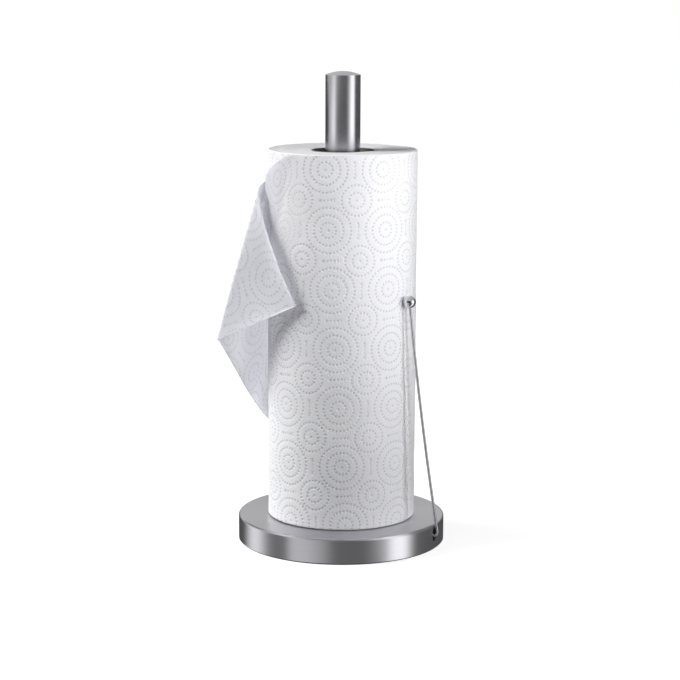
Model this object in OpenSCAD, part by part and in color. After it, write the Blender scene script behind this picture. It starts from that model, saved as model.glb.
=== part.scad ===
// Free-standing paper towel holder: a heavy round base, a tube post that the roll drops over, and a
// sprung wire arm whose ball rests on the roll so that a towel can be torn off with one hand.
// Origin: centre of the underside. +Z is up, -Y is the front, and the arm is at the front right.

/* [Base] */
// Diameter of the steel base cover
base_d = 150; // [150:1:156]
// Height of the base, from the table to its top face
base_h = 19; // [19:0.5:22]
// Thickness of the sheet steel
sheet_t = 1; // [0.8:0.1:1.2]
// Radius of the cover's rolled top edge
edge_r = 1.8; // [1.5:0.1:2.5]
// Height that the soft pad shows under the cover
pad_show = 1; // [0.6:0.1:1.4]

/* [Post] */
// Outer diameter of the post
post_d = 25; // [24:0.5:26]
// Height of the whole holder
total_h = 340; // [330:1:360]
// Height of the domed cap's crown above its rim
dome_h = 2.5; // [1:0.5:4]

/* [Paper roll] */
// Outer diameter of the paper roll
roll_d = 106.8; // [105.6:0.2:106.8]
// Width of the paper, which is the roll's height
roll_h = 266; // [220:1:280]
// Inside diameter of the cardboard core
core_d = 42; // [38:0.5:44]
// Wall of the cardboard core
core_t = 1.2; // [0.8:0.1:1.6]

/* [Arm] */
// Distance of the arm's upright plane in front of the post's centre
arm_y = 33.9; // [33.8:0.1:34.2]
// Depth of the arm's hinge pin inside the base's rim
hinge_in = 9.1; // [9:0.1:9.3]
// Height of the arm's hinge pin
hinge_z = 10.5; // [10:0.1:11]
// Diameter of the spring wire
wire_d = 2; // [1.8:0.1:2]
// Radius of the bend where the wire turns up outside the base
bend_r = 2.6; // [2.2:0.1:3]
// How far the wire's outermost point stands out from the base's rim
foot_out = 2.1; // [2.1:0.1:2.5]
// Lean of the wire at its foot, in degrees from upright
foot_lean = 9; // [8:0.1:10]
// Lean of the wire at the ball, in degrees from upright
tip_lean = 5.7; // [5.2:0.1:5.7]
// Height of the ball's centre
ball_z = 180.4; // [160:0.1:200]
// Diameter of the ball
ball_d = 9; // [8:0.1:9]

/* [Arm hinge] */
// Diameter of the hinge pin
pin_d = 3; // [2.5:0.1:3.2]
// Play between the pin and the hub, on radius
pin_play = 0.04; // [0.02:0.01:0.08]
// Width between the bracket's two ears
ear_gap = 12.4; // [12.2:0.1:13]
// Coils in the torsion spring
spring_turns = 3; // [2:1:3]

/* [Hidden] */

$fn = 96;
eps = 0.01;

// Base
base_r = base_d / 2;
pad_r = base_r - sheet_t - 0.2;
pad_t = pad_show + 2;
weight_r = base_r - sheet_t - 0.4;
ceiling_z = base_h - sheet_t;
groove_depth = 0.8;
groove_rings = [30, 60];

// Post and the screw that holds it to the base
post_r = post_d / 2;
post_wall = 1;
bore_r = post_r - post_wall;
cap_rim_h = 1;
spigot_h = 8;
tube_top_z = total_h - dome_h - cap_rim_h;
plug_h = 18;
screw_r = 4;
screw_head_r = 7;
screw_head_h = 4;
screw_tip_z = base_h + 14;
socket_r = 2.9;
socket_depth = 2.6;
washer_r = 8.4;
washer_t = 1.6;
washer_play = 0.3;
counterbore_z = pad_t + 0.4 + screw_head_h + washer_t;
through_r = screw_r + 0.3;

// Roll, which stands on the base with a hair of play under it
roll_gap = 0.2;
roll_z = base_h + roll_gap;
roll_r = roll_d / 2;
core_r = core_d / 2;
core_play = 0.05;
core_recess = 0.8;

// Arm, whose plane cuts the base's rim at rim_x
rim_x = sqrt(base_r * base_r - arm_y * arm_y);
hinge_x = rim_x - hinge_in;
foot_x = rim_x + foot_out;
wire_r = wire_d / 2;
ball_r = ball_d / 2;
bend_x = foot_x - bend_r;
bend_z = hinge_z + bend_r;
stem_x = bend_x + bend_r * cos(foot_lean);
stem_z = bend_z + bend_r * sin(foot_lean);
stem_r = (ball_z - stem_z) / (sin(foot_lean) - sin(tip_lean));
ball_x = stem_x - stem_r * (cos(tip_lean) - cos(foot_lean));

// A ball this much larger than the wire joins the bend to the stem
weld_proud = 0.02;

// Slot in the base's rim that the wire passes through
slot_w = 5;
slot_low_z = 6.3;
slot_high_z = 16.3;
liner_t = 0.6;
liner_depth = 1.4;

// Hinge hardware, in the pocket of the weight
hub_r = 4.5;
hub_w = 4;
sleeve_r = 2.6;
sleeve_w = ear_gap - 0.6;
leg_start_x = hinge_x + pin_d / 2 + 0.6;
pocket_x = hinge_x - 5.7;
pocket_z = 4.2;
pocket_w = 19;
step_x = hinge_x - 17.5;
step_z = 8;
ear_t = 1;
ear_r = 3.2;
web_x = hinge_x - 15.5;
web_l = 10;
bracket_w = ear_gap + 2 * ear_t;
m3_r = 1.5;
m3_head_r = 2.7;
m3_head_h = 1.8;
m3_socket_r = 1.2;
m3_socket_depth = 1.2;
m3_x = hinge_x - 12.4;
m3_spread = 6.6;
pin_head_r = pin_d / 2 + 0.9;
pin_head_t = 0.8;
pin_head_y = bracket_w / 2 + pin_head_t;
pin_tip_y = -bracket_w / 2 - 1.5;
pin_groove_r = pin_d / 2 - 0.4;
clip_r = pin_d / 2 + 1.4;
clip_t = 0.5;
clip_play = 0.15;
clip_mouth = 1.6;
clip_y = -(bracket_w / 2 + clip_play + clip_t / 2);

// Torsion spring round the hub's sleeve
spring_wire_r = 0.4;
spring_r = 3.4;
spring_low_y = 2.6;
spring_high_y = 5.5;
ring_steps = 18;
wire_sides = 8;
leg_slot_x = hinge_x - 12;
leg_slot_z = hinge_z - 3.6;
leg_slot_l = 8;
leg_slot_w = 1.4;
fixed_leg = [
    [hinge_x - 11, spring_high_y, hinge_z - 3],
    [hinge_x - 5.5, spring_high_y, hinge_z - 3.1]
];
moving_leg = [
    [hinge_x + 2, spring_low_y, hinge_z - 3],
    [hinge_x + 4.2, spring_low_y, hinge_z - 2.2],
    [hinge_x + 5.3, 2.3, hinge_z - 1.7],
    [hinge_x + 6, 1, hinge_z - 1.5],
    [hinge_x + 6.8, -1.3, hinge_z - 1.5]
];

// Free end of the paper: where it leaves the roll, where it folds, and its turned-down corner
sheet_skin = 0.8;
leave_top = [-52, -12, 266];
leave_low = [-53.5, 6, 90];
fold_top = [-57, -22, 252];
fold_low = [-89, -26, 151];
corner = [-32.5, -57, 179];

// Moves its children into the arm's plane
module in_arm_plane() {
    translate([0, -arm_y, 0]) children();
}

// A cylinder along Y, centred on the arm's plane
module cross_cylinder(r, length) {
    rotate([90, 0, 0]) cylinder(r = r, h = length, center = true);
}

// A cylinder along X from x0 to x1
module along_x(r, x0, x1) {
    translate([x0, 0, 0]) rotate([0, 90, 0]) cylinder(r = r, h = x1 - x0);
}

// An upright slot with round ends, cut along X from x0 to x1
module slot_prism(width, low_z, high_z, x0, x1) {
    translate([x0, -width / 2, low_z + width / 2])
        cube([x1 - x0, width, high_z - low_z - width]);
    for (z = [low_z + width / 2, high_z - width / 2])
        translate([0, 0, z]) along_x(width / 2, x0, x1);
}

// Half of the section of a round cover: a flat top, a straight skirt and a rolled edge between them
module cover_section(radius, top_z, corner_r) {
    translate([0, pad_show]) square([radius - corner_r, top_z - pad_show]);
    translate([0, pad_show]) square([radius, top_z - corner_r - pad_show]);
    translate([radius - corner_r, top_z - corner_r]) circle(r = corner_r);
}

// Soft pad glued into the bottom of the cover, with two grip grooves in its underside
module base_pad() {
    color([0.07, 0.07, 0.075])
    difference() {
        cylinder(r = pad_r, h = pad_t);
        for (r = groove_rings)
            rotate_extrude() translate([r, 0]) circle(r = groove_depth);
    }
}

// Cast iron weight, with a counterbore for the post's screw and a pocket for the arm's hinge
module base_weight() {
    color([0.16, 0.16, 0.17])
    difference() {
        union() {
            translate([0, 0, pad_t]) cylinder(r = weight_r, h = ceiling_z - pad_t - edge_r);
            translate([0, 0, pad_t]) cylinder(r = weight_r - edge_r, h = ceiling_z - pad_t);
        }
        translate([0, 0, -eps]) cylinder(r = through_r, h = base_h);
        translate([0, 0, pad_t - eps]) cylinder(r = washer_r + washer_play, h = counterbore_z - pad_t + eps);
        in_arm_plane() {
            translate([pocket_x, -pocket_w / 2, pocket_z]) cube([base_r, pocket_w, base_h]);
            translate([step_x, -pocket_w / 2, step_z]) cube([base_r, pocket_w, base_h]);
            translate([leg_slot_x, spring_high_y - leg_slot_w / 2, leg_slot_z])
                cube([leg_slot_l, leg_slot_w, base_h]);
            for (side = [-1, 1])
                translate([m3_x, side * m3_spread / 2, pocket_z]) cylinder(r = m3_r, h = base_h);
        }
    }
}

// Drawn stainless cover, with the screw's hole in its top and the arm's slot in its skirt
module base_cover() {
    color([0.68, 0.68, 0.70])
    difference() {
        rotate_extrude() intersection() {
            difference() {
                cover_section(base_r, base_h, edge_r);
                translate([0, -1]) square([base_r - sheet_t, pad_show + 2]);
                cover_section(base_r - sheet_t, ceiling_z, edge_r - sheet_t);
            }
            square([base_r + 1, base_h + 1]);
        }
        cylinder(r = through_r, h = base_h + 1);
        in_arm_plane() slot_prism(slot_w, slot_low_z, slot_high_z, hinge_x, base_r + 1);
    }
}

// Black liner of the slot, which keeps the wire off the cut edge
module slot_liner() {
    color([0.03, 0.03, 0.035])
    intersection() {
        in_arm_plane() difference() {
            slot_prism(slot_w, slot_low_z, slot_high_z, hinge_x, base_r + 1);
            slot_prism(slot_w - 2 * liner_t, slot_low_z + liner_t, slot_high_z - liner_t,
                       hinge_x - 1, base_r + 2);
        }
        difference() {
            cylinder(r = base_r, h = base_h);
            translate([0, 0, -1]) cylinder(r = base_r - liner_depth, h = base_h + 2);
        }
    }
}

// Tube post, standing on the cover
module post_tube() {
    color([0.66, 0.66, 0.68])
    translate([0, 0, base_h]) difference() {
        cylinder(r = post_r, h = tube_top_z - base_h);
        translate([0, 0, -1]) cylinder(r = bore_r, h = total_h);
    }
}

// Threaded plug pressed into the foot of the post
module post_plug() {
    color([0.5, 0.5, 0.52])
    translate([0, 0, base_h]) difference() {
        cylinder(r = bore_r, h = plug_h);
        translate([0, 0, -1]) cylinder(r = screw_r, h = plug_h + 2);
    }
}

// Domed cap whose spigot is pressed into the top of the post
module post_cap() {
    dome_r = (post_r * post_r + dome_h * dome_h) / (2 * dome_h);
    color([0.7, 0.7, 0.72]) {
        translate([0, 0, tube_top_z]) cylinder(r = post_r, h = cap_rim_h);
        translate([0, 0, tube_top_z - spigot_h]) cylinder(r = bore_r, h = spigot_h);
        intersection() {
            translate([0, 0, total_h - dome_r]) sphere(r = dome_r);
            translate([0, 0, tube_top_z + cap_rim_h]) cylinder(r = post_r, h = dome_h + 1);
        }
    }
}

// Button-head screw that pulls the post down onto the base
module post_screw() {
    head_z = counterbore_z - washer_t - screw_head_h;
    color([0.35, 0.35, 0.37])
    difference() {
        union() {
            translate([0, 0, head_z]) cylinder(r = screw_head_r, h = screw_head_h);
            translate([0, 0, head_z]) cylinder(r = screw_r, h = screw_tip_z - head_z);
        }
        translate([0, 0, head_z - eps]) cylinder(r = socket_r, h = socket_depth, $fn = 6);
    }
}

// Washer under the screw's head
module post_washer() {
    color([0.55, 0.55, 0.57])
    translate([0, 0, counterbore_z - washer_t]) difference() {
        cylinder(r = washer_r, h = washer_t);
        translate([0, 0, -1]) cylinder(r = screw_r, h = washer_t + 2);
    }
}

// Channel bracket: a web screwed to the weight, and two ears that carry the hinge pin
module arm_bracket() {
    color([0.6, 0.6, 0.62])
    in_arm_plane() difference() {
        union() {
            translate([web_x, -bracket_w / 2, step_z]) cube([web_l, bracket_w, ear_t]);
            for (side = [-1, 1])
                translate([0, side * (ear_gap + ear_t) / 2, 0]) {
                    translate([web_x, -ear_t / 2, step_z])
                        cube([hinge_x - web_x, ear_t, hinge_z + ear_r - step_z - 1]);
                    translate([hinge_x, 0, hinge_z]) cross_cylinder(ear_r, ear_t);
                }
        }
        translate([hinge_x, 0, hinge_z]) cross_cylinder(pin_d / 2, bracket_w + 2);
        for (side = [-1, 1])
            translate([m3_x, side * m3_spread / 2, 0]) cylinder(r = m3_r, h = base_h);
    }
}

// Two pan-head screws that hold the bracket, each with a hex socket
module bracket_screws() {
    head_z = step_z + ear_t;
    color([0.4, 0.4, 0.42])
    in_arm_plane() for (side = [-1, 1])
        translate([m3_x, side * m3_spread / 2, 0]) difference() {
            union() {
                translate([0, 0, pocket_z]) cylinder(r = m3_r, h = head_z - pocket_z);
                translate([0, 0, head_z]) cylinder(r = m3_head_r, h = m3_head_h);
            }
            translate([0, 0, head_z + m3_head_h - m3_socket_depth])
                cylinder(r = m3_socket_r, h = m3_head_h, $fn = 6);
        }
}

// Headed pin through both ears, with a groove for its clip
module hinge_pin() {
    color([0.62, 0.62, 0.65])
    in_arm_plane() translate([hinge_x, 0, hinge_z]) difference() {
        union() {
            translate([0, (pin_head_y + pin_tip_y) / 2, 0])
                cross_cylinder(pin_d / 2, pin_head_y - pin_tip_y);
            translate([0, pin_head_y - pin_head_t / 2, 0]) cross_cylinder(pin_head_r, pin_head_t);
        }
        translate([0, clip_y, 0]) difference() {
            cross_cylinder(pin_d, clip_t + 0.1);
            cross_cylinder(pin_groove_r, clip_t + 1);
        }
    }
}

// Spring clip in the pin's groove, open on one side
module pin_clip() {
    color([0.25, 0.25, 0.27])
    in_arm_plane()
    translate([hinge_x, clip_y, hinge_z]) difference() {
        cross_cylinder(clip_r, clip_t);
        cross_cylinder(pin_groove_r, clip_t + 1);
        translate([0, -clip_t, -clip_mouth / 2]) cube([2 * clip_r, 2 * clip_t, clip_mouth]);
    }
}

// Helix round the hinge, from the fixed leg's side to the moving leg's side
function coil_point(turn) = [
    hinge_x + spring_r * sin(360 * turn),
    spring_high_y + (spring_low_y - spring_high_y) * turn / spring_turns,
    hinge_z - spring_r * cos(360 * turn)
];
coil_steps = spring_turns * ring_steps;
spring_path = [
    for (p = fixed_leg) p,
    for (i = [0 : coil_steps]) coil_point(i / ring_steps),
    for (p = moving_leg) p
];

function unit(v) = v / norm(v);
function along(path, i) =
    unit(path[min(i + 1, len(path) - 1)] - path[max(i - 1, 0)]);

// A round wire swept along a path that never runs parallel to Y
module swept_wire(path, radius, sides) {
    rings = len(path);
    points = [
        for (i = [0 : rings - 1])
            let (t = along(path, i), n = unit(cross(t, [0, 1, 0])), b = cross(t, n))
            for (k = [0 : sides - 1])
                path[i] + radius * (cos(360 * k / sides) * n + sin(360 * k / sides) * b)
    ];
    walls = [
        for (i = [0 : rings - 2])
            for (k = [0 : sides - 1])
                let (k2 = (k + 1) % sides)
                [i * sides + k, (i + 1) * sides + k, (i + 1) * sides + k2, i * sides + k2]
    ];
    first_end = [for (k = [0 : sides - 1]) k];
    last_end = [for (k = [0 : sides - 1]) rings * sides - 1 - k];
    polyhedron(points = points, faces = concat(walls, [first_end], [last_end]), convexity = 8);
}

// Torsion spring: one leg held under the bracket's web, the other pushing up under the wire
module arm_spring() {
    color([0.75, 0.75, 0.78])
    in_arm_plane() swept_wire(spring_path, spring_wire_r, wire_sides);
}

// Turned hub on the pin, with a blind hole for the wire
module arm_hub() {
    color([0.58, 0.58, 0.6])
    in_arm_plane() difference() {
        translate([hinge_x, 0, hinge_z]) {
            cross_cylinder(hub_r, hub_w);
            cross_cylinder(sleeve_r, sleeve_w);
        }
        translate([hinge_x, 0, hinge_z]) cross_cylinder(pin_d / 2 + pin_play, ear_gap + 2);
        translate([0, 0, hinge_z]) along_x(wire_r, leg_start_x, hinge_x + hub_r + 1);
    }
}

// Spring wire: a short level leg, a bend outside the rim and a long, slightly bowed stem
module arm_wire() {
    color([0.55, 0.55, 0.57])
    in_arm_plane() {
        translate([0, 0, hinge_z]) along_x(wire_r, leg_start_x, bend_x);
        translate([bend_x, 0, bend_z]) rotate([90, 0, 0]) rotate([0, 0, -90])
            rotate_extrude(angle = 90 + foot_lean) translate([bend_r, 0]) circle(r = wire_r);
        translate([stem_x, 0, stem_z]) sphere(r = wire_r + weld_proud);
        translate([stem_x + stem_r * cos(foot_lean), 0, stem_z + stem_r * sin(foot_lean)])
            rotate([90, 0, 0]) rotate([0, 0, 180 + tip_lean])
                rotate_extrude(angle = foot_lean - tip_lean)
                    translate([stem_r, 0]) circle(r = wire_r);
    }
}

// Polished ball with a blind hole for the wire's tip
module arm_ball() {
    color([0.8, 0.8, 0.82])
    in_arm_plane() translate([ball_x, 0, ball_z]) difference() {
        sphere(r = ball_r);
        rotate([0, -tip_lean, 0]) translate([0, 0, -2 * ball_r]) cylinder(r = wire_r, h = 2 * ball_r);
    }
}

// Cardboard core that drops over the post
module roll_core() {
    color([0.72, 0.6, 0.45])
    translate([0, 0, roll_z]) difference() {
        cylinder(r = core_r + core_t, h = roll_h - core_recess);
        translate([0, 0, -1]) cylinder(r = core_r, h = roll_h + 2);
    }
}

// Wound paper round the core
module paper_roll() {
    color([0.95, 0.95, 0.96])
    translate([0, 0, roll_z]) difference() {
        cylinder(r = roll_r, h = roll_h);
        translate([0, 0, -1]) cylinder(r = core_r + core_t + core_play, h = roll_h + 2);
    }
}

// Thin plate with rounded edges through three points
module sheet_plate(a, b, c) {
    hull() for (p = [a, b, c]) translate(p) sphere(r = sheet_skin, $fn = 10);
}

// Free end of the paper, standing off the roll at the left with its top corner turned down
module loose_sheet() {
    color([0.93, 0.93, 0.95]) {
        sheet_plate(leave_top, fold_low, leave_low);
        sheet_plate(leave_top, fold_top, fold_low);
        sheet_plate(fold_top, fold_low, corner);
    }
}

base_pad();
base_weight();
base_cover();
slot_liner();
post_tube();
post_plug();
post_cap();
post_screw();
post_washer();
arm_bracket();
bracket_screws();
hinge_pin();
pin_clip();
arm_spring();
arm_hub();
arm_wire();
arm_ball();
roll_core();
paper_roll();
loose_sheet();
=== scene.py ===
"""Looks of the free-standing paper towel holder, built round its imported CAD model."""
import math

import bmesh
import bpy
import numpy as np
from mathutils import Matrix, Vector

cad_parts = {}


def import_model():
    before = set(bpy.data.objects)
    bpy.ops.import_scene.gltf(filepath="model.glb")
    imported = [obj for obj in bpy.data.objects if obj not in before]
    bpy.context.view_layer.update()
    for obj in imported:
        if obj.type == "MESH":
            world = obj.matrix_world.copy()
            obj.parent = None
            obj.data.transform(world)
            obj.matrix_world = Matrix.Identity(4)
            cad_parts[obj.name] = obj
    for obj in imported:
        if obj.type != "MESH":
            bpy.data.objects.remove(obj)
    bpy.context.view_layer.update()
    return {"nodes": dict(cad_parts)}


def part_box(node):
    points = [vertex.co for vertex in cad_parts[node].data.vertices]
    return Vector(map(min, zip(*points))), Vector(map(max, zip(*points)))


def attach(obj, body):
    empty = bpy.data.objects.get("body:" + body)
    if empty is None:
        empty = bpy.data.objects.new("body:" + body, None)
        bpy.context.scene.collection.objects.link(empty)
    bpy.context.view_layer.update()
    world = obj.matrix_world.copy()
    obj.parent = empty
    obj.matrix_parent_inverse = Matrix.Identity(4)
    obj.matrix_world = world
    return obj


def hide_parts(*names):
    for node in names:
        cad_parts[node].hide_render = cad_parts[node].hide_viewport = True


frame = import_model()
NODES = frame["nodes"]
MM = 0.001

# ---------------------------------------------------------------- sizes from the CAD, in mm
roll_lo, roll_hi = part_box("paper_roll")
ROLL_R = roll_hi.x / MM
ROLL_Z0 = roll_lo.z / MM
ROLL_Z1 = roll_hi.z / MM
_, core_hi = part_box("roll_core")
BORE_R = core_hi.x / MM + 0.05
TURN = 2 * math.pi * ROLL_R


# ---------------------------------------------------------------- node helpers
class Graph:
    """A small wrapper for building a node tree in reading order."""

    def __init__(self, tree):
        self.tree = tree
        tree.nodes.clear()

    def add(self, kind, inputs=None, **props):
        node = self.tree.nodes.new(kind)
        for name, value in props.items():
            setattr(node, name, value)
        for key, value in (inputs or {}).items():
            self.put(node.inputs[key], value)
        return node

    def put(self, socket, value):
        """Link a node or a socket, or set a plain value."""
        if isinstance(value, bpy.types.NodeSocket):
            self.tree.links.new(value, socket)
        elif isinstance(value, bpy.types.Node):
            self.tree.links.new(value.outputs[0], socket)
        else:
            socket.default_value = value

    def math(self, operation, a, b=0.0):
        return self.add("ShaderNodeMath", {0: a, 1: b}, operation=operation).outputs[0]

    def mix(self, factor, a, b, blend="MIX"):
        """One colour over another."""
        node = self.add("ShaderNodeMix", data_type="RGBA", blend_type=blend)
        for socket, value in ((0, factor), (6, a), (7, b)):
            self.put(node.inputs[socket], value)
        return node.outputs[2]

    def ramp(self, factor, stops):
        """A colour ramp through stops of a position and a colour, or a number for a grey."""
        node = self.add("ShaderNodeValToRGB", {0: factor})
        band = node.color_ramp
        while len(band.elements) < len(stops):
            band.elements.new(0.5)
        for element, (position, colour) in zip(band.elements, stops):
            element.position = position
            element.color = grey(colour) if isinstance(colour, (int, float)) else (*colour, 1)
        return node.outputs[0]

    def noise(self, vector, scale, detail=3.0, rough=0.55):
        inputs = {"Vector": vector, "Scale": scale, "Detail": detail, "Roughness": rough}
        return self.add("ShaderNodeTexNoise", inputs).outputs[0]

    def bump(self, height, distance, strength):
        inputs = {"Height": height, "Distance": distance, "Strength": strength}
        return self.add("ShaderNodeBump", inputs).outputs[0]


def grey(value):
    """A grey as a colour with its alpha."""
    return (value, value, value, 1)


def toned(colour, *factors):
    """The colour made darker or lighter by each of the factors."""
    return [tuple(part * factor for part in colour) for factor in factors]


def material(name):
    """A new material and the graph of its nodes."""
    made = bpy.data.materials.new(name)
    made.use_nodes = True
    return made, Graph(made.node_tree)


def principled(g, **sockets):
    """The material's own shader, with an underscore for each space in a socket's name."""
    shader = g.add("ShaderNodeBsdfPrincipled")
    for key, value in sockets.items():
        g.put(shader.inputs[key.replace("_", " ")], value)
    g.add("ShaderNodeOutputMaterial", {0: shader})
    return shader


def place(g):
    """The object's own coordinates, in metres."""
    return g.add("ShaderNodeTexCoord").outputs["Object"]


def round_axis(g):
    """(radius, angle, height) about the post's axis, as sockets."""
    x, y, z = g.add("ShaderNodeSeparateXYZ", {0: place(g)}).outputs
    radius = g.math("SQRT", g.math("ADD", g.math("MULTIPLY", x, x), g.math("MULTIPLY", y, y)))
    return radius, g.math("ARCTAN2", y, x), z


# ---------------------------------------------------------------- metals
BRUSH_GRAIN = 9000.0     # brushed lines per metre across the grain
BRUSH_ROUND = 0.7        # changes of a line per radian that it runs round


def spun_steel(name, colour, rough):
    """Stainless steel brushed round the post's axis: fine hoops that spread its shine up and down."""
    made, g = material(name)
    radius, angle, height = round_axis(g)
    across = g.math("ADD", radius, height)
    along = g.math("MULTIPLY", angle, BRUSH_ROUND / BRUSH_GRAIN)
    hoop = g.add("ShaderNodeCombineXYZ", {0: across, 1: along, 2: 0.0}).outputs[0]
    fine = g.noise(hoop, BRUSH_GRAIN, 2.0)
    wide = g.noise(place(g), 26.0)
    tone = g.math("ADD", g.math("MULTIPLY", fine, 0.6), g.math("MULTIPLY", wide, 0.4))
    dark, light = toned(colour, 0.9, 1.08)
    shine = g.math("ADD", rough - 0.05, g.math("MULTIPLY", tone, 0.1))
    tangent = g.add("ShaderNodeTangent", direction_type="RADIAL", axis="Z").outputs[0]
    principled(
        g,
        Base_Color=g.ramp(tone, [(0.3, dark), (0.7, light)]),
        Metallic=1.0,
        Roughness=shine,
        Anisotropic=0.75,
        Anisotropic_Rotation=0.25,
        Tangent=tangent,
        Normal=g.bump(fine, 0.00002, 0.35),
    )
    return made


def plain_metal(name, colour, rough, scale=900.0, depth=0.00002, spread=0.08, metal=1.0):
    """Metal, plastic or foam with a fine overall texture and slight changes of tone."""
    made, g = material(name)
    fine = g.noise(place(g), scale, 4.0)
    wide = g.noise(place(g), scale / 12)
    tone = g.math("MULTIPLY", g.math("ADD", fine, wide), 0.5)
    dark, light = toned(colour, 0.82, 1.15)
    principled(
        g,
        Base_Color=g.ramp(tone, [(0.3, dark), (0.7, light)]),
        Metallic=metal,
        Roughness=g.math("ADD", rough - spread / 2, g.math("MULTIPLY", wide, spread)),
        Normal=g.bump(fine, depth, 0.6),
    )
    return made


def drawn_wire(name, colour, rough):
    """Bright drawn wire, with fine upright lines."""
    made, g = material(name)
    stretched = g.add("ShaderNodeMapping", {0: place(g), 3: (1, 1, 0.01)}).outputs[0]
    fine = g.noise(stretched, 6000.0, 2.0)
    dark, light = toned(colour, 0.88, 1)
    principled(
        g,
        Base_Color=g.ramp(fine, [(0.3, dark), (0.7, light)]),
        Metallic=1.0,
        Roughness=g.math("ADD", rough, g.math("MULTIPLY", fine, 0.08)),
        Normal=g.bump(fine, 0.000006, 0.4),
    )
    return made


# ---------------------------------------------------------------- soft and paper materials
LAYER = 0.0009           # metres between the lines of painted shade that the layers draw on the roll's ends
LAYER_DRIFT = 0.00045    # metres that a line moves outwards in one turn


def layer_lines(g):
    """The edges of the wound layers: the lines' own wave, and the painted shade of the gaps between the
    layers, which makes the paper darker.
    """
    radius, angle, _ = round_axis(g)
    turn = g.math("ADD", radius, g.math("MULTIPLY", angle, LAYER_DRIFT / (2 * math.pi)))
    wobble = g.math("MULTIPLY", g.noise(place(g), 60.0, 2.0), 0.0006)
    wave = g.math("SINE", g.math("MULTIPLY", g.math("ADD", turn, wobble), 2 * math.pi / LAYER))
    return wave, g.ramp(wave, [(0.0, 0.78), (0.55, 1.0)])


def paper(name, dots=0.62, end_grain=False, through=0.0):
    """Soft absorbent paper, darker by the share dots where the mesh is embossed: painted shade in the
    pressed dimples, partly the pressed paper's own greyer tone.

    through is the share of the light that passes where the mesh is marked as loose.
    """
    made, g = material(name)
    fibre = g.noise(place(g), 2600.0, 4.0, 0.7)
    pebble = g.noise(place(g), 780.0, 1.5, 0.5)
    cloud = g.noise(place(g), 45.0)
    tone = g.math("ADD", g.math("MULTIPLY", fibre, 0.35), g.math("MULTIPLY", cloud, 0.65))
    plain = g.ramp(tone, [(0.25, (0.855, 0.855, 0.885)), (0.75, (0.895, 0.895, 0.915))])
    dot = g.add("ShaderNodeAttribute", attribute_name="emboss").outputs["Fac"]
    # Painted shade: the pressed dots are mixed towards a bluish grey, partly also the pressed paper's own
    # greyer tone
    shade = g.mix(g.math("MULTIPLY", dot, dots), plain, (0.40, 0.40, 0.45, 1))
    height = g.math("ADD", pebble, g.math("MULTIPLY", fibre, 0.14))
    if end_grain:
        wave, gap = layer_lines(g)
        # Painted shade in the gaps between the wound layers, multiplied over the paper of a flat end
        shade = g.mix(0.55, shade, gap, "MULTIPLY")
        height = g.math("ADD", g.math("MULTIPLY", wave, 0.2), g.math("MULTIPLY", fibre, 0.3))
    shader = principled(
        g,
        Base_Color=shade,
        Roughness=0.93,
        Specular_IOR_Level=0.12,
        Sheen_Weight=0.08,
        Sheen_Roughness=0.6,
        Normal=g.bump(height, 0.0005, 0.55),
    )
    if through:
        glow = g.add("ShaderNodeBsdfTranslucent", {0: shade})
        loose = g.add("ShaderNodeAttribute", attribute_name="loose").outputs["Fac"]
        both = g.add("ShaderNodeMixShader", {0: g.math("MULTIPLY", loose, through), 1: shader, 2: glow})
        out = next(node for node in g.tree.nodes if node.bl_idname == "ShaderNodeOutputMaterial")
        g.put(out.inputs[0], both)
    return made


SEAM_PITCH = 0.075       # metres that the core's seam climbs in one turn


def cardboard(name):
    """Core board wound in a spiral, with its seam and flecks: its own brown, made darker and greyer as
    painted shade for the inside of the bore.
    """
    made, g = material(name)
    _, angle, height = round_axis(g)
    turns = g.math("ADD", g.math("DIVIDE", height, SEAM_PITCH), g.math("DIVIDE", angle, 2 * math.pi))
    seam = g.ramp(g.math("FRACT", turns), [(0.0, 0.55), (0.02, 1.0), (0.98, 1.0), (1.0, 0.55)])
    fleck = g.noise(place(g), 1400.0, 5.0, 0.7)
    # Painted shade: the board's brown is darkened and greyed to stand in for the shade inside the bore
    board = g.ramp(fleck, [(0.3, (0.125, 0.112, 0.10)), (0.7, (0.215, 0.195, 0.175))])
    principled(
        g,
        Base_Color=g.mix(1.0, board, seam, "MULTIPLY"),
        Roughness=0.9,
        Specular_IOR_Level=0.2,
        Normal=g.bump(g.math("ADD", fleck, seam), 0.00008, 0.6),
    )
    return made


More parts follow.
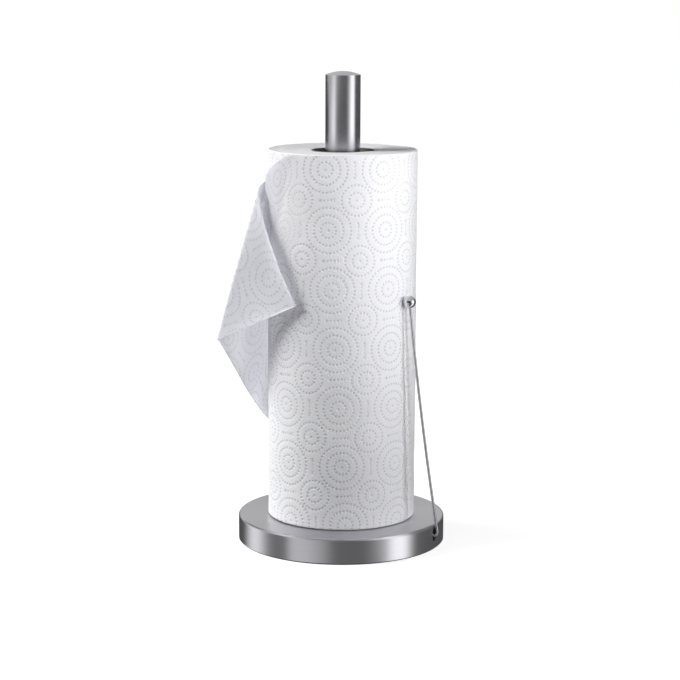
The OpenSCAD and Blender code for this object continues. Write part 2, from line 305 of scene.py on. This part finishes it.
LOOKS = {
    "base_cover": spun_steel("cover_spun_steel", (0.59, 0.588, 0.62), 0.30),
    "post_tube": spun_steel("post_spun_steel", (0.59, 0.588, 0.62), 0.24),
    "post_cap": spun_steel("cap_spun_steel", (0.61, 0.61, 0.62), 0.24),
    "post_plug": plain_metal("plug_turned_steel", (0.50, 0.50, 0.51), 0.35),
    "post_screw": plain_metal("screw_zinc", (0.46, 0.47, 0.50), 0.38, 600),
    "post_washer": plain_metal("washer_zinc", (0.50, 0.51, 0.53), 0.36, 500),
    "bracket_screws": plain_metal("small_screw_zinc", (0.45, 0.46, 0.49), 0.38, 800),
    "arm_bracket": plain_metal("bracket_steel_sheet", (0.50, 0.50, 0.52), 0.33, 700),
    "hinge_pin": drawn_wire("pin_ground_steel", (0.56, 0.56, 0.58), 0.18),
    "pin_clip": plain_metal("clip_spring_steel", (0.15, 0.15, 0.17), 0.4, 900),
    "arm_spring": drawn_wire("spring_music_wire", (0.42, 0.42, 0.44), 0.3),
    "arm_hub": plain_metal("hub_turned_steel", (0.52, 0.52, 0.54), 0.3, 900),
    "arm_wire": drawn_wire("arm_bright_wire", (0.58, 0.58, 0.60), 0.16),
    "arm_ball": plain_metal("ball_polished_chrome", (0.66, 0.66, 0.68), 0.07, 1200, 0.000002, 0.04),
    "slot_liner": plain_metal("liner_black_plastic", (0.02, 0.02, 0.022), 0.42, 1500, 0.00002, 0.1, 0.0),
    "base_pad": plain_metal("pad_black_foam", (0.028, 0.028, 0.030), 0.85, 1800, 0.0001, 0.1, 0.0),
    "base_weight": plain_metal("weight_painted_iron", (0.07, 0.07, 0.075), 0.6, 420, 0.0002, 0.15, 0.3),
    "roll_core": cardboard("core_board"),
    "paper_roll": paper("roll_paper_soft"),
    "loose_sheet": paper("sheet_paper_soft", dots=0.35, through=0.5),
}
for node, look in LOOKS.items():
    NODES[node].data.materials.clear()
    NODES[node].data.materials.append(look)


# ---------------------------------------------------------------- the emboss, on the paper laid flat
RING = 5.3        # mm between the rings of dots
DOT_GAP = 2.6     # mm between dots on a ring
DOT_R = 0.72      # mm, a dot's radius
COLUMNS = 16      # columns of motifs round the roll, alternately half a pitch apart
PITCH = 42.0      # mm between motifs in a column
SLANT = 0.06      # the columns lean this much
WIDER = 2.8       # mm by which every other column's motifs are the wider ones
FIRST_S = 2.8     # mm from the roll's front to a column of motifs
FIRST_H = 3.5     # mm from the paper's lower edge to a motif's middle
COLUMN = TURN / COLUMNS


def nearest_motif(s, h):
    """How far each place is from the middle of the motif that it belongs to, round the paper and up it."""
    lean = s + SLANT * h - FIRST_S
    column = np.floor(lean / COLUMN)
    best = np.full(s.shape, np.inf)
    near_s = np.zeros(s.shape)
    near_h = np.zeros(s.shape)
    for step in (-1, 0, 1, 2):
        c = column + step
        wide = np.mod(c, 2) == 0
        phase = np.where(wide, FIRST_H, FIRST_H + PITCH / 2)
        dh = h - (np.round((h - phase) / PITCH) * PITCH + phase)
        ds = lean - SLANT * dh - c * COLUMN
        rank = np.hypot(ds, dh) + np.where(wide, -WIDER, WIDER)
        closer = rank < best
        best = np.where(closer, rank, best)
        near_s = np.where(closer, ds, near_s)
        near_h = np.where(closer, dh, near_h)
    return near_s, near_h


def emboss(s, h):
    """How deep the pressed dots are, 0 to 1, at s mm round the paper and h mm above its lower edge."""
    ds, dh = nearest_motif(s, h)
    gap = np.hypot(ds, dh)
    ring = np.round(gap / RING)
    count = np.maximum(np.round(2 * math.pi * RING * ring / DOT_GAP), 1)
    turn = np.arctan2(dh, ds) * count / (2 * math.pi)
    along = (turn - np.round(turn)) * 2 * math.pi / count * ring * RING
    away = np.hypot(gap - ring * RING, along)
    dot = np.clip(1.35 - away / DOT_R, 0, 1)
    return dot * dot * (3 - 2 * dot)


def pillow(s, h):
    """The paper's own gentle unevenness, in mm."""
    return (
        0.10 * np.sin(s / 9.1 + 1.3 * np.sin(h / 23.0))
        + 0.09 * np.sin(h / 7.3 + 1.1 * np.sin(s / 17.0) + 0.7)
        + 0.06 * np.sin((s + h) / 4.1 + 0.4)
    )


def mesh_object(name, points, faces, dots, look):
    """A smooth mesh object from points in mm, with the depth of its dots kept as an attribute."""
    data = bpy.data.meshes.new(name)
    data.from_pydata((np.asarray(points) * MM).tolist(), [], faces)
    data.validate()
    mark = data.attributes.new("emboss", "FLOAT", "POINT")
    mark.data.foreach_set("value", np.asarray(dots, np.float32))
    data.polygons.foreach_set("use_smooth", np.ones(len(data.polygons), bool))
    data.materials.append(look)
    made = bpy.data.objects.new(name, data)
    bpy.context.scene.collection.objects.link(made)
    return made


def grid_faces(rows, columns, wrap=False, first=0):
    """Quads of a grid of points laid out row by row; wrap joins the last column to the first."""
    last = columns if wrap else columns - 1
    j, i = np.meshgrid(np.arange(rows - 1), np.arange(last), indexing="ij")
    k = (i + 1) % columns
    quads = np.stack([j * columns + i, j * columns + k, (j + 1) * columns + k, (j + 1) * columns + i], -1)
    return (quads.reshape(-1, 4) + first).tolist()


def around(phi, radius, z):
    """Points at an azimuth from the front, positive to the right."""
    return np.stack([radius * np.sin(phi), -radius * np.cos(phi), z + 0 * phi], -1)


# ---------------------------------------------------------------- the wound roll
STEP = 0.62
DOT_DEPTH = 0.45         # mm that a dot is pressed into the roll
EDGE_R = 1.2             # mm, the rounding of the roll's two edges
EDGE_SHARE = 0.3         # how much of the side's unevenness its rounded edges have


def roll_profile():
    """(radius, height, share of the side, which flat end) from the lower bore, out, up and in again."""
    flat = [(r, 0.0) for r in np.arange(BORE_R, ROLL_R - EDGE_R, STEP)]
    turn = np.linspace(0, math.pi / 2, 4)[:-1]
    edge = [(ROLL_R - EDGE_R + EDGE_R * math.sin(a), EDGE_R - EDGE_R * math.cos(a)) for a in turn]
    lower = [(r, ROLL_Z0 + up, 0.0, -1.0) for r, up in flat]
    lower += [(r, ROLL_Z0 + up, EDGE_SHARE, 0.0) for r, up in edge]
    upper = [(r, ROLL_Z1 - up, EDGE_SHARE, 0.0) for r, up in edge[::-1]]
    upper += [(r, ROLL_Z1 - up, 0.0, 1.0) for r, up in flat[::-1]]
    count = int((ROLL_Z1 - ROLL_Z0 - 2 * EDGE_R) / STEP)
    side = [(ROLL_R, z, 1.0, 0.0) for z in np.linspace(ROLL_Z0 + EDGE_R, ROLL_Z1 - EDGE_R, count)]
    return np.array(lower + side + upper)


def winding(r, phi):
    """How far the layers' edges stand in from a flat end, in mm: the winding's ripple and a slight dish."""
    turn = r + LAYER_DRIFT / MM * phi / (2 * math.pi)
    ripple = 0.16 * np.sin(turn * 5.1) + 0.10 * np.sin(turn * 2.3 + 1.0) + 0.08 * np.sin(turn * 11.0 + 2.0)
    waves = 0.12 * np.sin(2 * phi + r / 6.0) + 0.08 * np.sin(5 * phi + r / 3.1)
    dish = 0.5 * np.clip((ROLL_R - 4 - r) / 26.0, 0, 1)
    fade = np.clip((ROLL_R - 0.4 - r) / 2.0, 0, 1)
    return fade * (0.42 + ripple + waves) + dish


def roll_materials(made, rows, columns):
    """Give the flat ends their own paper, which shows the layers with painted shade between them; the
    bore's faces come last.
    """
    made.data.materials.append(paper("roll_end_paper", end_grain=True))
    flat_end = rows[:, 3] != 0
    on_end = np.repeat(flat_end[:-1] & flat_end[1:], columns)
    index = np.concatenate([on_end, np.zeros(columns, bool)])
    made.data.polygons.foreach_set("material_index", index.astype(np.int32))
    made.data.update()


def make_roll():
    """The wound paper: an embossed side, two uneven ends and a plain bore."""
    rows = roll_profile()
    columns = int(TURN / STEP)
    phi = np.linspace(-math.pi, math.pi, columns, endpoint=False)
    r, f = np.meshgrid(rows[:, 0], phi, indexing="ij")
    z, side, end = (np.repeat(column[:, None], columns, 1) for column in rows.T[1:])
    s, h = f * ROLL_R, z - ROLL_Z0
    dots = emboss(s, h) * (side == 1)
    radius = r - DOT_DEPTH * dots + (pillow(s, h) * side - 0.12) * (side > 0)
    height = z - end * winding(r, f)
    points = around(f, radius, height).reshape(-1, 3)
    bore = np.arange(columns)
    top = (len(rows) - 1) * columns
    after = (bore + 1) % columns
    faces = grid_faces(len(rows), columns, wrap=True)
    faces += np.stack([top + bore, top + after, after, bore], -1).tolist()
    made = mesh_object("paper_roll_wound", points, faces, dots.reshape(-1), paper("roll_side_paper"))
    roll_materials(made, rows, columns)
    return made


roll = make_roll()
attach(roll, "paper")
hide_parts("paper_roll")


# ---------------------------------------------------------------- the loose end of the towel
SHEET_H = ROLL_Z1 - ROLL_Z0      # the paper's width, which stands upright
LEAVE_TOP = math.radians(-36)    # azimuth where the top edge leaves the roll
FREE = 130.0                     # mm of top edge from there to the paper's corner
TUCK = 6.0                       # mm of paper beyond the line where it leaves that stay on the roll
EAR_TOP, EAR_SIDE = 86.0, 67.0   # mm of top edge and of free edge that are turned down
LEAVE_LOW_H = 38.0               # height on the paper where its free edge meets the roll again
LEAVE_LOW = LEAVE_TOP - FREE / ROLL_R
ON_ROLL = ROLL_R - 0.05          # radius where the sheet lies on the roll
LIFT_OVER = 12.0                 # mm over which the sheet gets loose
SHEET_DOT_DEPTH = 0.30           # mm that a dot is pressed into the sheet
SAG = 2.2                        # how many times deeper its unevenness is than the roll's
SAG_WIDER = 0.6                  # and how much of the roll's rhythm it has
PULL_ROLL, PULL_EDGE = 0.85, 0.75        # how strongly it keeps its direction at the roll and at its edge
PLY = 0.32                       # mm, its thickness
WELD = 0.00002                   # metres within which points are one

# (share of the way down, azimuth in degrees) of the line where it leaves the roll
LEAVE = [
    (0, -36), (0.10, -34), (0.22, -34), (0.30, -42), (0.40, -80), (0.55, -112), (1, math.degrees(LEAVE_LOW))
]
LEAVE_SMOOTH = 25                # rows that the line is evened out over

# Places in mm: the fold's two ends and how far its middle bows, the ear's tip, and points that pull the
# free edge round the back of the roll
FOLD_TOP = np.array([-57.4, -17.5, 260.5])
FOLD_LOW = np.array([-88.4, -22.0, 151.0])
FOLD_BOW = np.array([-1.5, 0, 0])
EAR_TIP = np.array([-32.5, -48.8, 179.6])
FOLD_R_TOP, FOLD_R_LOW = 4.2, 0.8        # the fold's rounding at its two ends, in mm
OPEN_TOP, OPEN_LOW = -20, 42             # degrees from the ear to the rest of the sheet at the two ends
FREE_EDGE = [[-76, -12, 127], [-63, 8, 96], [-57, 34, 70], [-32, 60, 58]]

# Its rows run from the leaving line to the fold, and below that to the free edge. The mesh is laid out by
# these lengths in mm, with a point about every GRAIN
GRAIN = 0.75
FOLD_LENGTH, FREE_LENGTH, SHEET_WIDTH, EAR_LENGTH = 104.0, 150.0, 86.0, 80.0
FOLD_ROWS = int(FOLD_LENGTH / GRAIN)
FOLD_SHARE = FOLD_LENGTH / (FOLD_LENGTH + FREE_LENGTH)
T_FOLD = np.linspace(0, 1, FOLD_ROWS)
T_FREE = np.linspace(0, 1, int(FREE_LENGTH / GRAIN) + 1)[1:]
DOWN = np.concatenate([T_FOLD * FOLD_SHARE, FOLD_SHARE + T_FREE * (1 - FOLD_SHARE)])


def unit(v):
    """The vectors at length 1."""
    return v / np.maximum(np.linalg.norm(v, axis=-1, keepdims=True), 1e-9)


def hermite(p0, p1, m0, m1, u):
    """Cubic through p0 and p1 with those end tangents, for arrays of rows and one of u."""
    u = u[None, :, None]
    p0, p1, m0, m1 = (a[:, None, :] for a in (p0, p1, m0, m1))
    return (
        (2 * u**3 - 3 * u**2 + 1) * p0
        + (u**3 - 2 * u**2 + u) * m0
        + (-2 * u**3 + 3 * u**2) * p1
        + (u**3 - u**2) * m1
    )


def bezier(points, t):
    """A smooth curve by repeated halving of a control polygon."""
    work = [np.repeat(np.array(p, float)[None], len(t), 0) for p in points]
    while len(work) > 1:
        work = [a * (1 - t[:, None]) + b * t[:, None] for a, b in zip(work[:-1], work[1:])]
    return work[0]


def leaving_line():
    """Where each row leaves the roll: its azimuth, its place in space and its place on the flat paper."""
    phi = np.radians(np.interp(DOWN, *zip(*LEAVE)))
    phi = np.pad(phi, LEAVE_SMOOTH // 2, mode="edge")
    phi = np.convolve(phi, np.ones(LEAVE_SMOOTH) / LEAVE_SMOOTH, mode="valid")
    h = SHEET_H + (LEAVE_LOW_H - SHEET_H) * DOWN
    line = around(phi, ON_ROLL, h + ROLL_Z0)
    line[:, 2] -= 0.4 * (1 - DOWN)    # its top is just below the roll's rounded edge
    return phi, line, np.stack([(LEAVE_TOP - phi) * ROLL_R, h], -1)


def free_edge():
    """The free edge below the ear, round the back of the roll, in space and on the flat paper."""
    end = around(np.array([LEAVE_LOW]), ROLL_R + 0.3, LEAVE_LOW_H + ROLL_Z0)[0]
    low_h = SHEET_H - EAR_SIDE
    flat = np.stack([FREE + 0 * T_FREE, low_h + (LEAVE_LOW_H - low_h) * T_FREE], -1)
    return bezier([FOLD_LOW, *FREE_EDGE, end], T_FREE), flat


class Fold:
    """The rounded fold where the corner turns down, row by row.

    Angles go round it from the ear's plane: a quarter turn is the crest, and a half turn is the ear's side.
    """

    def __init__(self, line, line_flat, run):
        """line is the crest, and run is each row's direction on the flat paper."""
        self.line, self.line_flat, self.run = line, line_flat, run
        out = line.mean(0) - EAR_TIP
        self.down = unit(FOLD_LOW - FOLD_TOP)
        self.away = unit(out - self.down * np.dot(out, self.down))
        front = np.cross(self.down, self.away)
        self.front = front if front[1] < 0 else -front
        self.skew = (run @ unit(line_flat[-1] - line_flat[0]))[:, None]
        self.cross = np.sqrt(1 - self.skew ** 2)
        self.start = np.radians(OPEN_TOP + (OPEN_LOW - OPEN_TOP) * T_FOLD ** 0.8)[:, None]
        self.radius = (FOLD_R_LOW + (FOLD_R_TOP - FOLD_R_LOW) * (1 - T_FOLD) ** 1.3)[:, None]
        self.across = self.away * np.cos(self.start) + self.front * np.sin(self.start)

    def at(self, angle):
        """Where the sheet is at an angle; it also moves along the fold, as its rows cross it askew."""
        side = self.away * (np.sin(angle) - 1) - self.front * np.cos(angle)
        drift = self.down * self.skew / self.cross * (angle - math.pi / 2)
        return self.line + self.radius * (side + drift)

    def flat_at(self, angle):
        """The same places on the flat paper."""
        return self.line_flat + self.run * self.radius / self.cross * (angle - math.pi / 2)


def make_fold(leave_flat):
    """The fold, with its crest across the corner that turns down."""
    line = bezier([FOLD_TOP, (FOLD_TOP + FOLD_LOW) / 2 + FOLD_BOW, FOLD_LOW], T_FOLD)
    line_flat = np.stack([FREE - EAR_TOP * (1 - T_FOLD), SHEET_H - EAR_SIDE * T_FOLD], -1)
    return Fold(line, line_flat, unit(line_flat - leave_flat[:FOLD_ROWS]))


def main_part(phi, leave, leave_flat, fold):
    """From the leaving line to the fold and the free edge, in space and on the flat paper."""
    free, free_flat = free_edge()
    length = np.linalg.norm(np.concatenate([fold.line_flat, free_flat]) - leave_flat, axis=1)[:, None]
    tangent = np.stack([-np.cos(phi), -np.sin(phi), 0 * phi], -1)
    on_fold = unit(fold.down * fold.skew + fold.across * fold.cross)
    blend = T_FREE[:, None] ** 0.8
    arrive = unit(np.concatenate([on_fold, on_fold[-1] + (tangent[-1] - on_fold[-1]) * blend]))
    edge = np.concatenate([fold.at(fold.start), free])
    edge_flat = np.concatenate([fold.flat_at(fold.start), free_flat])
    u = np.linspace(0, 1, int(SHEET_WIDTH / GRAIN))
    main = hermite(leave, edge, tangent * length * PULL_ROLL, arrive * length * PULL_EDGE, u)
    # Nowhere does it dip into the roll: it stays outside a radius that grows towards the edge
    clear = ON_ROLL + 0.6 * np.clip(u * 6, 0, 1) + 3.4 * u ** 1.5
    main[..., :2] *= np.maximum(1, clear / np.hypot(main[..., 0], main[..., 1]))[..., None]
    return main, leave_flat[:, None] + (edge_flat - leave_flat)[:, None] * u[None, :, None]


def tucked_part(phi, leave, leave_flat):
    """A strip that stays on the roll and sinks under its surface, in space and on the flat paper."""
    u = np.linspace(-1, 0, 9)[None, :-1]
    phi = phi[:, None] - u * (TUCK / ROLL_R)
    strip = around(phi, ON_ROLL + 0.5 * u, leave[:, 2][:, None])
    return strip, leave_flat[:, None] + np.stack([u * TUCK, 0 * u], -1)


def ear_part(fold):
    """Round the fold and across to the ear's tip, in space and on the flat paper."""
    angles = [fold.start + (math.pi - fold.start) * part for part in np.linspace(0, 1, 13)[1:]]
    turned = np.stack([fold.at(angle) for angle in angles], 1)
    turned_flat = np.stack([fold.flat_at(angle) for angle in angles], 1)
    start = turned[:, -1]
    tip = np.repeat(EAR_TIP[None], FOLD_ROWS, 0)
    reach = np.linalg.norm(tip - start, axis=1)[:, None]
    straight = unit(tip - start)
    turn = fold.down * fold.skew - fold.across * fold.cross - straight
    out = unit(straight + turn * (1 - T_FOLD)[:, None])
    into = unit(2 * straight - out)
    w = np.linspace(0, 1, int(EAR_LENGTH / GRAIN))[1:]
    ear = hermite(start, tip, out * reach, into * reach, w)
    ear_flat = turned_flat[:, -1:] * (1 - w)[:, None] + np.array([FREE, SHEET_H]) * w[:, None]
    return np.concatenate([turned, ear], 1), np.concatenate([turned_flat, ear_flat], 1)


def weld_and_press(data, flat):
    """Weld the parts, face them outwards, press in the dots and let the loose paper sag a little."""
    work = bmesh.new()
    work.from_mesh(data)
    layers = work.verts.layers.float
    deep = layers["emboss"]
    loose, flat_s, flat_h = (layers.new(name) for name in ("loose", "flat_s", "flat_h"))
    for vert, (s, h) in zip(work.verts, flat):
        vert[flat_s], vert[flat_h] = s, h
    bmesh.ops.remove_doubles(work, verts=work.verts, dist=WELD)
    bmesh.ops.recalc_face_normals(work, faces=work.faces)
    work.faces.ensure_lookup_table()
    work.normal_update()
    if work.faces[0].normal.dot(Vector((math.sin(LEAVE_TOP), -math.cos(LEAVE_TOP), 0))) < 0:
        bmesh.ops.reverse_faces(work, faces=work.faces)
        work.normal_update()
    for vert in work.verts:
        leaves_at = FREE * (SHEET_H - vert[flat_h]) / (SHEET_H - LEAVE_LOW_H)
        vert[loose] = min(1.0, max(0.0, (vert[flat_s] - leaves_at) / LIFT_OVER))
        sag = SAG * pillow(vert[flat_s] * SAG_WIDER, vert[flat_h] * SAG_WIDER) * vert[loose]
        vert.co += vert.normal * float(sag - SHEET_DOT_DEPTH * vert[deep]) * MM
    work.to_mesh(data)
    work.free()
    data.update()


def make_sheet():
    """The loose end as one mesh, and its area in square metres."""
    phi, leave, leave_flat = leaving_line()
    fold = make_fold(leave_flat)
    parts = [tucked_part(phi, leave, leave_flat), main_part(phi, leave, leave_flat, fold)]
    sheet, sheet_flat = (np.concatenate(pair, 1) for pair in zip(*parts))
    ears = [(sheet[:FOLD_ROWS, -1:], sheet_flat[:FOLD_ROWS, -1:]), ear_part(fold)]
    ear, ear_flat = (np.concatenate(pair, 1) for pair in zip(*ears))
    rows, columns = sheet.shape[:2]
    faces = grid_faces(rows, columns) + grid_faces(FOLD_ROWS, ear.shape[1], first=rows * columns)
    points = np.concatenate([sheet.reshape(-1, 3), ear.reshape(-1, 3)])
    flat = np.concatenate([sheet_flat.reshape(-1, 2), ear_flat.reshape(-1, 2)])
    dots = emboss(LEAVE_TOP * ROLL_R - flat[:, 0], flat[:, 1])
    made = mesh_object("towel_loose_end", points, faces, dots, LOOKS["loose_sheet"])
    weld_and_press(made.data, flat)
    thick = made.modifiers.new("ply", "SOLIDIFY")
    thick.thickness = PLY * MM
    thick.offset = 0.0
    return made, (FREE / 2 + TUCK) * (SHEET_H - LEAVE_LOW_H) * MM * MM


sheet, sheet_area = make_sheet()
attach(sheet, "paper")
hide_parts("loose_sheet")


# ---------------------------------------------------------------- stage, light and camera
FLOOR_R = 12.0           # metres
FLOOR_SIDES = 96


def stage_object(name, points, faces, look, *unseen):
    """A piece of the studio, which the named kinds of ray don't see."""
    data = bpy.data.meshes.new(name)
    data.from_pydata(points, [], faces)
    data.materials.append(look)
    made = bpy.data.objects.new(name, data)
    bpy.context.scene.collection.objects.link(made)
    for kind in unseen:
        setattr(made, "visible_" + kind, False)


def floor():
    """A white floor that catches shadows, with painted shade that makes its glow a little darker near the
    holder.
    """
    look, g = material("floor_white")
    radius, _, _ = round_axis(g)
    # Painted shade: the floor's glow is turned down near the holder
    glow = g.ramp(g.math("DIVIDE", radius, 0.5), [(0.14, 0.80), (0.6, 1.0)])
    white = g.add("ShaderNodeEmission", {0: glow, 1: 1.0})
    matt = g.add("ShaderNodeBsdfDiffuse", {0: grey(0.35)})
    g.add("ShaderNodeOutputMaterial", {0: g.add("ShaderNodeAddShader", {0: white, 1: matt})})
    turn = np.linspace(0, 2 * math.pi, FLOOR_SIDES, endpoint=False)
    points = [(FLOOR_R * math.cos(a), FLOOR_R * math.sin(a), -0.0002) for a in turn]
    stage_object("studio_floor", points, [list(range(FLOOR_SIDES))], look, "glossy", "diffuse")


# The studio that the metal reflects: (azimuth from the front in degrees, brightness) of its white and
# black cards. The far ones show in the base's rim, and a near ring of them shows in the post and the ball
CARDS = [
    (-180, 0.06), (-138, 0.08), (-128, 0.60), (-121, 1.15), (-107, 1.25), (-97, 0.62), (-88, 0.22),
    (-80, 0.13), (-64, 0.14), (-59, 0.82), (-38, 0.76), (-20, 0.46), (-8, 0.14),
    (26, 0.12), (40, 0.32), (52, 0.66), (59, 1.6), (76, 1.9), (82, 0.9), (90, 0.14), (180, 0.07),
]
NEAR_CARDS = [
    (-180, 0.03), (-115, 0.03), (-101, 0.45), (-84, 0.85), (-66, 1.45), (-55, 1.25), (-44, 0.45),
    (-32, 0.10), (-18, 0.05), (20, 0.05), (32, 0.30), (44, 1.00), (54, 2.0), (74, 1.9), (84, 0.50),
    (92, 0.10), (180, 0.05),
]
NEAR_R, NEAR_LOW, NEAR_HIGH = 0.35, 0.12, 0.33     # the near ring's radius and heights, in metres
NEAR_FROM, NEAR_TO = -135, 125                     # and the azimuths where it ends, in degrees
NEAR_COLUMNS = 80
CEILING_LEFT, CEILING_RIGHT = 0.80, 0.50           # brightness above the far cards
AMBIENT = 0.02                                     # what lights the paper from all round
BRIGHTEST = 2.0


def card_ramp(g, x, y, cards):
    """Brightness over BRIGHTEST of a set of cards, by azimuth from the front."""
    azimuth = g.math("ARCTAN2", x, g.math("MULTIPLY", y, -1.0))
    turn = g.math("ADD", g.math("DIVIDE", azimuth, 2 * math.pi), 0.5)
    return g.ramp(turn, [((a + 180) / 360, b / BRIGHTEST) for a, b in cards])


def world():
    """What reflections see beyond the near ring, the faint light from all round, and a white backdrop."""
    made = bpy.data.worlds.new("studio")
    made.use_nodes = True
    g = Graph(made.node_tree)
    way = g.add("ShaderNodeTexCoord").outputs["Generated"]
    x, y, z = g.add("ShaderNodeSeparateXYZ", {0: way}).outputs
    across = g.math("ADD", g.math("MULTIPLY", x, 0.5), 0.5)
    ceiling = g.ramp(across, [(0.1, CEILING_LEFT / BRIGHTEST), (0.9, CEILING_RIGHT / BRIGHTEST)])
    up = g.ramp(z, [(0.02, 0.0), (0.22, 1.0)])
    studio = g.mix(up, card_ramp(g, x, y, CARDS), ceiling)
    rays = g.add("ShaderNodeLightPath").outputs
    lit = g.add("ShaderNodeBackground", {0: studio, 1: BRIGHTEST})
    soft = g.add("ShaderNodeBackground", {0: (0.97, 0.97, 1.0, 1), 1: AMBIENT})
    shown = g.add("ShaderNodeBackground", {0: grey(1.0), 1: 1.0})
    light = g.add("ShaderNodeMixShader", {0: rays["Is Diffuse Ray"], 1: lit, 2: soft})
    seen = g.add("ShaderNodeMixShader", {0: rays["Is Camera Ray"], 1: light, 2: shown})
    g.add("ShaderNodeOutputWorld", {0: seen})
    bpy.context.scene.world = made


def near_cards():
    """Part of an upright ring round the holder, open at the back, that only reflections see."""
    look, g = material("near_cards")
    x, y, _ = g.add("ShaderNodeSeparateXYZ", {0: place(g)}).outputs
    glow = g.add("ShaderNodeEmission", {0: card_ramp(g, x, y, NEAR_CARDS), 1: BRIGHTEST})
    g.add("ShaderNodeOutputMaterial", {0: glow})
    turn = np.radians(np.linspace(NEAR_FROM, NEAR_TO, NEAR_COLUMNS))
    points = np.concatenate([around(turn, NEAR_R, z) for z in (NEAR_LOW, NEAR_HIGH)])
    faces = grid_faces(2, NEAR_COLUMNS)
    stage_object("near_cards", points.tolist(), faces, look, "camera", "diffuse", "shadow")


def softbox(name, azimuth, elevation, distance, size, power, aim, tall=None, tint=(1, 1, 1)):
    """An area light, in degrees, metres and watts, that faces the aim point.

    The azimuth is from the front, positive to the right, and a light without tall is square.
    """
    data = bpy.data.lights.new(name, "AREA")
    data.energy = power
    data.color = tint
    data.size = size
    if tall:
        data.shape = "RECTANGLE"
        data.size_y = tall
    made = bpy.data.objects.new(name, data)
    a, e = math.radians(azimuth), math.radians(elevation)
    back = Vector((math.sin(a) * math.cos(e), -math.cos(a) * math.cos(e), math.sin(e)))
    made.location = Vector(aim) + back * distance
    made.rotation_mode = "QUATERNION"
    made.rotation_quaternion = back.to_track_quat("Z", "Y")
    made.visible_glossy = made.visible_camera = False
    bpy.context.scene.collection.objects.link(made)


CAMERA_AT = (-0.0014, -1.4633, 0.4089)             # metres
CAMERA_DOWN, CAMERA_ROLL = 0.1772, 0.0041          # radians below level, and about its own line of sight


def camera():
    """Far away, with a long lens, a little above the roll and looking slightly down."""
    data = bpy.data.cameras.new("camera")
    data.sensor_width = 36.0
    data.lens = 108.8
    data.clip_start = 0.05
    data.clip_end = 100.0
    made = bpy.data.objects.new("camera", data)
    bpy.context.scene.collection.objects.link(made)
    made.matrix_world = (
        Matrix.Translation(CAMERA_AT)
        @ Matrix.Rotation(math.radians(90) - CAMERA_DOWN, 4, "X")
        @ Matrix.Rotation(CAMERA_ROLL, 4, "Z")
    )
    bpy.context.scene.camera = made


floor()
world()
near_cards()
softbox("softbox_left", -87, 35, 1.5, 0.95, 28.5, aim=(0, 0, 0.2), tall=0.8)
softbox("softbox_low", -86, -4, 0.30, 0.05, 0.17, aim=(0, 0, 0.06), tall=0.12)
softbox("softbox_right", 66, 5, 1.5, 0.4, 9.0, aim=(0, 0, 0.25), tall=0.6)
softbox("softbox_near", 36, 4, 0.24, 0.05, 0.33, aim=(0, 0, 0.27), tall=0.28)
softbox("softbox_front", 12, 14, 1.3, 0.8, 2.2, aim=(0, 0, 0.28), tint=(0.94, 0.94, 1.0))
camera()
bpy.context.scene.view_settings.view_transform = "Standard"
